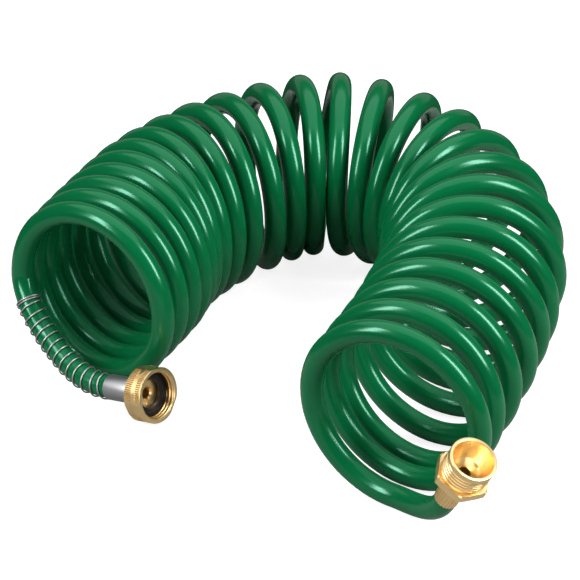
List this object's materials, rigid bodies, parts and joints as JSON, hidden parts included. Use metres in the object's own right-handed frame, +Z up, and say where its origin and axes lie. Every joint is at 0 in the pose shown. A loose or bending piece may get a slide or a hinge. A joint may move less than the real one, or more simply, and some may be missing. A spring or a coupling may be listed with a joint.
{
  "type": "self-coiling garden hose",
  "caption": "Self-coiling garden hose laid in a U on the floor, with a spring guard and knurled swivel nut at its inlet and a male threaded fitting at its outlet.",
  "frame": {"origin": "middle of the bounding box's underside, on the floor that the hose lies on", "axes": "+Z up; the two ends of the U point along -Y and its arch lies towards +Y; the inlet coupling is at the lower -X side and the outlet fitting at the +X side"},
  "size_m": [0.312, 0.4726, 0.1118],
  "materials": {
    "green_hose": "glossy extruded EVA",
    "brass": "machined, bright",
    "stainless_steel": "brushed",
    "black_rubber": "matt"
  },
  "bodies": {
    "hose": {"hose_coil": "green_hose", "hose_inlet_lead": "green_hose", "hose_outlet_lead": "green_hose", "spring_guard": "stainless_steel", "inlet_ferrule": "stainless_steel", "inlet_tail": "brass", "outlet_ferrule": "brass", "outlet_fitting": "brass"},
    "swivel_nut": {"swivel_nut": "brass", "inlet_washer": "black_rubber"}
  },
  "joints": [
    {"name": "swivel_nut_spin", "type": "hinge", "parent": "hose", "child": "swivel_nut", "pos_m": [-0.08169, -0.05835, 0.01619], "axis": [0.7696, -0.6232, 0.1392], "continuous": true}
  ]
}
